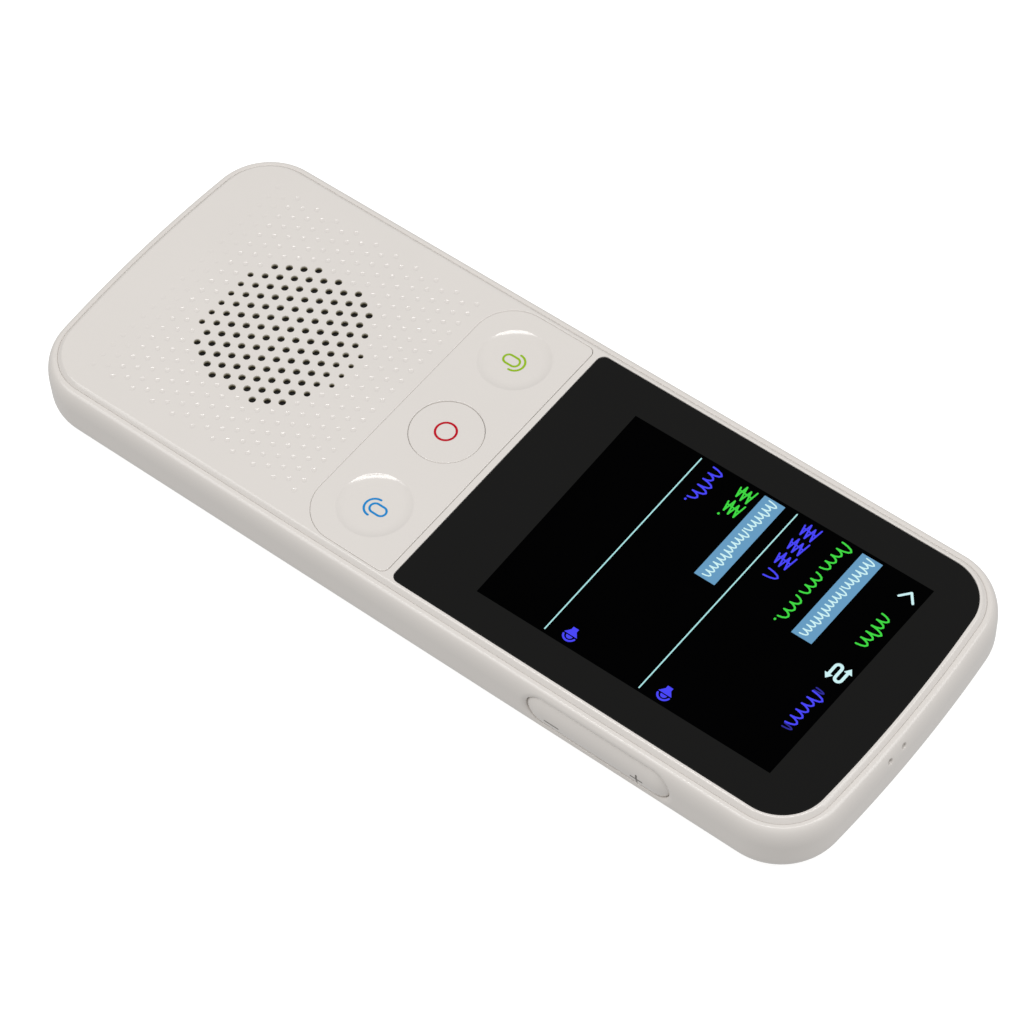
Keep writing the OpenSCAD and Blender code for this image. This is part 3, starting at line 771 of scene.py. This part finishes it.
def label(y0, y1):
    ui.prism([soft_box(-17.6, y0, -1.3, y1, 0.05)], place=flat, high=0.008, mat=LABEL)
    b, h = y0 + (y1 - y0) * 0.26, 1.3
    waves(-17.2, b, (1.75, h, 1.75, h, 1.6, h, h), 0.83, 0.21, WHITE, on_label)
    waves(-11.0, b, (1.6, h, h, h, h, 1.75, h, 1.6, h, h, h), 0.83, 0.21, WHITE, on_label)


def speaker(x, y, c):
    ui.prism([soft_box(x - 1.25, y - 0.46, x - 0.6, y + 0.46, 0.05),
              [(x - 0.75, y - 0.46), (x + 0.05, y - 1.1), (x + 0.05, y + 1.1), (x - 0.75, y + 0.46)]], place=flat, high=0.008, mat=c)
    ui.prism([arc_pts(x + 0.22, y, 0.52, -90, 90, 16)], place=flat, high=0.008, mat=c)
    ui.prism([bow(x + 0.1, y, 0.98, -72, 72, 0.3)], place=flat, high=0.008, mat=c)


label(49.25, 52.6)
label(32.95, 36.4)
waves(-17.45, 45.9, (2.2, 1.5, 1.5, 1.5), 1.3, 0.27, GREEN)
waves(-11.3, 46.05, (1.5, 1.5, 1.5), 1.3, 0.27, GREEN)
waves(-6.6, 46.1, (1.5, 1.5, 1.5), 1.4, 0.27, GREEN)
stroke([(-1.75, 46.25), (-1.7, 46.25)], 0.36, GREEN)
for x in (-17.4, -14.5, -11.55):
    hatch(x, 40.2, 2.62, 0.25, BLUE)
waves(-8.0, 40.5, (2.2,), 1.3, 0.26, BLUE)
for x in (-17.4, -14.5):
    hatch(x, 29.4, 2.62, 0.25, GREEN)
stroke([(-11.35, 29.65), (-11.3, 29.65)], 0.36, GREEN)
waves(-17.3, 24.3, (2.1, 1.5, 2.1, 2.1, 1.5), 1.22, 0.27, BLUE)
stroke([(-10.65, 24.5), (-10.6, 24.5)], 0.36, BLUE)
waves(-11.0, 57.05, (1.75, 1.75, 2.3, 1.75, 1.75), 1.2, 0.27, GREEN)
waves(4.65, 57.1, (2.3, 1.75, 1.75, 1.75, 1.75), 1.22, 0.27, BLUE)
waves(3.95, 57.2, (1.6,), 0.5, 0.22, DIM)
waves(10.95, 57.2, (1.6,), 0.6, 0.22, DIM)
stroke([(-17.6, 38.38), (18.0, 38.38)], 0.2, CYAN)
stroke([(-17.5, 22.18), (18.0, 22.18)], 0.2, CYAN)
speaker(16.7, 41.77, BLUE)
speaker(16.7, 25.65, BLUE)
stroke([(-14.75, 59.5), (-16.15, 58.35), (-14.75, 57.2)], 0.36, WHITE)
loop = [(-0.45, 59.31), (1.05, 59.31)] + arc_pts(1.05, 58.79, 0.52, 90, -90, 12, first=False)
loop += [(-0.35, 58.27)] + arc_pts(-0.35, 57.75, 0.52, 90, 270, 12, first=False) + [(1.2, 57.23)]
ui.prism([bar(a, b, 0.46, 5) for a, b in zip(loop, loop[1:])] + [[(-1.22, 59.33), (-0.3, 58.68), (-0.3, 60.0)],
         [(1.96, 57.25), (1.1, 57.9), (1.1, 56.6)]], place=flat, high=0.008, mat=WHITE)
screen_marks = shade(ui.mesh("display_marks"), 30)
piece(screen_marks, "case", slot="display_black", mats=[l_green, l_blue, l_cyan, l_label, l_white, l_dim])

# ------------------------------------------------------------------ key panel with its two dished talk keys
panel = Build()
pe = [panel.pts(panel_loop(d, z, more=0.015)) for d, z in
      ((-0.045, 9.5), (-0.045, 10.86), (-0.035, 10.91), (-0.01, 10.953), (0.02, 10.98), (0.055, 10.996), (0.085, TOP))]
for a, b in zip(pe, pe[1:]):
    panel.strip(a, b)
hole = [panel.pts(circle(0, KEY_Y, r, z, 96)) for r, z in
        ((5.6, TOP), (5.57, 10.996), (5.535, 10.98), (5.505, 10.953), (5.48, 10.91), (5.47, 10.86), (5.47, 9.5))]
for a, b in zip(hole, hole[1:]):
    panel.strip(a, b)
tops = [pe[-1], hole[0]]
R1, R0, DEP = 5.62, 3.75, 0.45
slopes = [min(t / 40 / 0.16, 1.0) * (1 - t / 40) for t in range(41)]
sunk = [0.0]
for a, b in zip(slopes, slopes[1:]):
    sunk.append(sunk[-1] + (a + b) / 2)
for sx in (-15.8, 15.8):
    rings = []
    for i in list(range(0, 12, 1)) + list(range(12, 41, 2)):
        rings.append(panel.pts(circle(sx, KEY_Y - 0.15, R1 + (R0 - R1) * i / 40, TOP - DEP * sunk[i] / sunk[-1], 96)))
    for a, b in zip(rings, rings[1:]):
        panel.strip(a, b)
    tops.append(rings[0])
    panel.face(rings[-1])
panel.fill(tops)
panel.fill([pe[0], hole[-1]])
for a, b in (((0, -3.85, 9.75), (0, -2.15, 9.75)), ((0, -20.25, 9.75), (0, -18.35, 9.75)),
             ((-15.8, KEY_Y, 9.0), (-15.8, KEY_Y, 9.6)), ((15.8, KEY_Y, 9.0), (15.8, KEY_Y, 9.6))):
    panel.rod(a, b, 0.55 if a[0] == 0 else 1.5)
panel_keys = shade(panel.mesh("panel_keys"), 38, [(lambda p: p[:, 2] > TOP - 1e-4, (0, 0, 1)),
                                                  (lambda p: (abs(p[:, 2] - (TOP - DEP)) < 1e-4), (0, 0, 1))])
piece(panel_keys, "key_panel", "key_panel", slot="white_keys", mats=[m_keys])

floor_z = TOP - DEP
on_dish = lambda u, v, h: (u, v, floor_z + 0.002 + h)
for name, cx, cy, ay, a0, a1, mat in (("talk_mark_green", -15.7, -11.64, -11.07, 0, 180, m_green),
                                      ("talk_mark_blue", 15.94, -10.465, -11.095, 180, 360, m_blue)):
    mk = Build()
    mk.prism([stadium(cx, cy, 2.93 / 2, 0.96, 16, 6, True)], [stadium(cx, cy, 2.93 / 2 - 0.33, 0.63, 16, 6, True)], on_dish, high=0.012)
    mk.prism([bow(cx, ay, 1.5, a0, a1, 0.33, 40)], place=on_dish, high=0.012)
    piece(shade(mk.mesh(name), 30), "key_panel", slot="white_keys", mats=[mat])

# ------------------------------------------------------------------ round centre key
ck = Build()
prof = [(6.28, 9.0), (6.28, 9.25), (5.425, 9.25), (5.425, 10.81), (5.41, 10.86), (5.375, 10.903), (5.345, 10.93), (5.31, 10.946), (5.28, 10.95)]
rings = [ck.pts(circle(0, KEY_Y, r, z, 96)) for r, z in prof]
for a, b in zip(rings, rings[1:]):
    ck.strip(a, b)
ck.face(rings[0])
ck.face(rings[-1])
key_centre = shade(ck.mesh("key_centre"), 38, [(lambda p: p[:, 2] > 10.9499, (0, 0, 1))])
piece(key_centre, "centre_key", "centre_key", slot="white_keys", mats=[m_keys])
mk = Build()
mk.prism([[p[:2] for p in circle(-0.02, -11.12, 1.54 + 0.17, 0, 72)]], [[p[:2] for p in circle(-0.02, -11.12, 1.54 - 0.17, 0, 72)]],
         lambda u, v, h: (u, v, 10.952 + h), high=0.012)
piece(shade(mk.mesh("centre_mark"), 30), "centre_key", slot="white_keys", mats=[m_red])

# ------------------------------------------------------------------ volume rocker
def crown(y, z):
    d = max(0.0, -dist_stadium(y, z, ROK_Y, ROK_Z, 11.88, 2.72))
    t = min(1.0, d / 2.72)
    edge = min(1.0, d / 0.35)
    return 26.08 + 0.16 * math.sqrt(max(0.0, 1 - (1 - edge) ** 2)) + 0.745 * (1 - (1 - t) ** 2)


rk = Build()
loops = [rk.pts((24.6, y, z) for y, z in stadium(ROK_Y, ROK_Z, 11.88, 2.72, 32, 40))]
for d in (0, 0.01, 0.03, 0.07, 0.13, 0.2, 0.3, 0.42, 0.58, 0.75, 0.95, 1.2, 1.5, 1.9, 2.25, 2.55):
    loops.append(rk.pts((crown(y, z), y, z) for y, z in stadium(ROK_Y, ROK_Z, 11.88 - d, 2.72 - d, 32, 40)))
for a, b in zip(loops, loops[1:]):
    rk.strip(a, b)
rk.face(loops[0])
n = len(loops[-1])
ids = loops[-1]
mid = rk.pts((26.985, ROK_Y + 9.15 * (2 * i / 40 - 1), ROK_Z) for i in range(41))
rk.strip(ids[:41], mid, closed=False)
for i in range(40, 72):
    rk.face((ids[i], ids[i + 1], mid[40]))
rk.strip(ids[72:113], mid[::-1], closed=False)
for i in range(112, n):
    rk.face((ids[i], ids[(i + 1) % n], mid[0]))
rk.box(24.4, ROK_Y - 12.7, ROK_Z - 2.2, 24.95, ROK_Y + 12.7, ROK_Z + 2.2)
rk.rod((24.1, ROK_Y, ROK_Z - 1.8), (24.1, ROK_Y, ROK_Z + 1.8), 0.7)
rk.box(24.1, ROK_Y - 0.45, ROK_Z - 1.8, 24.7, ROK_Y + 0.45, ROK_Z + 1.8)
rocker_volume = shade(rk.mesh("rocker_volume"), 40)
piece(rocker_volume, "volume_rocker", "volume_rocker", slot="white_shell", mats=[m_shell])
mk = Build()
on_rocker = lambda u, v, h: (crown(u, v) + 0.002 + h, u, v)
mk.prism([long_bar((26.9, 5.4), (29.1, 5.4), 0.3)], place=on_rocker, high=0.014)
mk.prism([long_bar((41.3, 5.4), (43.1, 5.4), 0.3), long_bar((42.2, 4.5), (42.2, 6.3), 0.3)], place=on_rocker, high=0.014)
piece(shade(mk.mesh("rocker_marks"), 30), "volume_rocker", slot="white_shell", mats=[m_grey])

# ------------------------------------------------------------------ finishes of the inner parts
inner = {
    "pcb": (surface("board_green", (0.012, 0.11, 0.045), rough=0.42, tint=0.12, grain=8e-6, grain_scale=1800, cloud=500),
            ("main_board", "volume_board", "charge_board")),
    "chip": (surface("chip_black", (0.012, 0.012, 0.013), rough=0.6, tint=0.1, grain=4e-6),
             ("processor_chip", "memory_chip", "radio_chip", "audio_chip")),
    "can": (surface("tin_plate", (0.62, 0.63, 0.64), rough=0.32, metallic=1.0, tint=0.04, grain=3e-6, stretch=(1, 6, 1)),
            ("shield_can", "usb_shell", "volume_bracket")),
    "flex": (surface("flex_amber", (0.45, 0.2, 0.03), rough=0.35, tint=0.06, grain=2e-6, cloud=900),
             ("display_flex", "volume_flex", "mic_flex", "charge_flex", "antenna")),
    "black": (surface("black_plastic", (0.02, 0.02, 0.02), rough=0.55, tint=0.1),
              ("display_connector", "charge_connector", "usb_tongue")),
    "switch": (surface("switch_grey", (0.2, 0.2, 0.21), rough=0.5, tint=0.06),
               ("centre_switch", "left_talk_switch", "right_talk_switch", "volume_up_switch", "volume_down_switch")),
    "silicone": (surface("silicone", (0.55, 0.55, 0.54), rough=0.62, tint=0.03, grain=6e-6), ("key_mat",)),
    "rubber": (surface("rubber_black", (0.02, 0.02, 0.02), rough=0.8, tint=0.1, grain=1e-5), ("mic_boot", "speaker_surround")),
    "foam": (surface("foam_black", (0.028, 0.028, 0.028), rough=0.95, tint=0.2, grain=6e-5, grain_scale=2400),
             ("speaker_gasket", "speaker_pad")),
    "cloth": (surface("dust_cloth", (0.03, 0.03, 0.03), rough=0.95, tint=0.2, grain=4e-5, grain_scale=6000, spec=0.1),
              ("speaker_mesh",)),
    "cone": (surface("paper_cone", (0.02, 0.02, 0.021), rough=0.85, tint=0.15, grain=2e-5, grain_scale=3000), ("speaker_cone",)),
    "steel": (surface("steel_dark", (0.25, 0.25, 0.26), rough=0.4, metallic=1.0, tint=0.05, grain=4e-6),
              ("speaker_basket", "board_screws")),
    "magnet": (surface("magnet_steel", (0.4, 0.4, 0.41), rough=0.3, metallic=1.0, tint=0.05), ("speaker_magnet",)),
    "pouch": (surface("pouch_silver", (0.42, 0.43, 0.45), rough=0.38, metallic=0.7, tint=0.05, grain=2e-5, grain_scale=900), ("battery",)),
    "tape": (surface("tape_clear", (0.6, 0.58, 0.52), rough=0.5, tint=0.05), ("battery_tape",)),
    "tape2": (surface("tape_black", (0.02, 0.02, 0.02), rough=0.6, tint=0.1), ("glass_adhesive",)),
    "cream": (surface("connector_cream", (0.62, 0.56, 0.42), rough=0.5, tint=0.04), ("battery_connector",)),
    "wire": (surface("wire_red", (0.4, 0.012, 0.012), rough=0.4, tint=0.05), ("battery_lead", "speaker_leads")),
    "mic": (surface("mic_gold", (0.6, 0.45, 0.2), rough=0.3, metallic=1.0, tint=0.05), ("microphones",)),
    "lcd": (surface("display_glass", (0.006, 0.006, 0.008), rough=0.12, tint=0.05, grain=1e-7), ("lcd_panel",)),
    "light": (surface("backlight_white", (0.7, 0.7, 0.69), rough=0.45, tint=0.03), ("backlight_unit",)),
}
for mat, names in inner.values():
    for name in names:
        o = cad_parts[name]
        if not o.material_slots:
            o.data.materials.append(mat)
        for s in o.material_slots:
            s.material = mat

# ------------------------------------------------------------------ floor, light and camera
fl = bpy.data.meshes.new("floor")
fb = bmesh.new()
bmesh.ops.create_circle(fb, cap_ends=True, segments=96, radius=6.0)
fb.to_mesh(fl)
fb.free()
floor = bpy.data.objects.new("floor", fl)
floor.location = (0, 0, -0.00005)
scene.collection.objects.link(floor)
m_floor = surface("floor_white", (0.55, 0.55, 0.55), rough=0.9, tint=0.002, grain=1e-7, spec=0.1)
fb_ = [n for n in m_floor.node_tree.nodes if n.type == "BSDF_PRINCIPLED"][0]
fb_.inputs["Emission Color"].default_value = (1, 1, 1, 1)
fb_.inputs["Emission Strength"].default_value = 0.72
fl.materials.append(m_floor)
floor.visible_diffuse = False
floor.visible_glossy = False

world = bpy.data.worlds.new("world")
scene.world = world
world.use_nodes = True
bg = world.node_tree.nodes["Background"]
bg.inputs["Color"].default_value = (1.0, 0.995, 0.985, 1)
bg.inputs["Strength"].default_value = 0.55


def area(name, at, wide, deep, power, colour=(1, 1, 1), along=(-0.613, 0.789, 0)):
    """Rectangular light that faces the object, with its wide side along a direction."""
    light = bpy.data.lights.new(name, "AREA")
    light.shape, light.size, light.size_y = "RECTANGLE", wide, deep
    light.energy, light.color = power, colour
    o = bpy.data.objects.new(name, light)
    z = Vector(at).normalized()
    y = z.cross(Vector(along)).normalized()
    m = Matrix((y.cross(z), y, z)).transposed().to_4x4()
    m.translation = Vector(at)
    o.matrix_world = m
    scene.collection.objects.link(o)
    return o


area("soft_main", (0.10, 0.085, 1.25), 1.6, 0.24, 5.6, (1.0, 0.99, 0.975))
area("soft_left", (0.75, -0.68, 0.82), 0.8, 0.8, 2.8, (1.0, 0.992, 0.98))
area("soft_right", (-0.455, 0.975, 0.73), 0.8, 0.8, 3.1, (0.995, 0.995, 1.0))

cam = bpy.data.cameras.new("camera")
cam_o = bpy.data.objects.new("camera", cam)
scene.collection.objects.link(cam_o)
right, up, back = (-0.61322271, 0.78926534, -0.03190815), (-0.65408935, -0.48472086, 0.58070027), (0.44286005, 0.37696938, 0.8134919)
m = Matrix.Identity(4)
for i in range(3):
    m[i][0], m[i][1], m[i][2] = right[i], up[i], back[i]
m[0][3], m[1][3], m[2][3] = 0.222878, 0.190037, 0.410546
cam_o.matrix_world = m
cam.sensor_width = 36.0
cam.lens = 3561.0 / 1024.0 * 36.0
cam.shift_x, cam.shift_y = -0.4 / 1024, -0.3 / 1024
cam.clip_start, cam.clip_end = 0.01, 50.0
scene.camera = cam_o
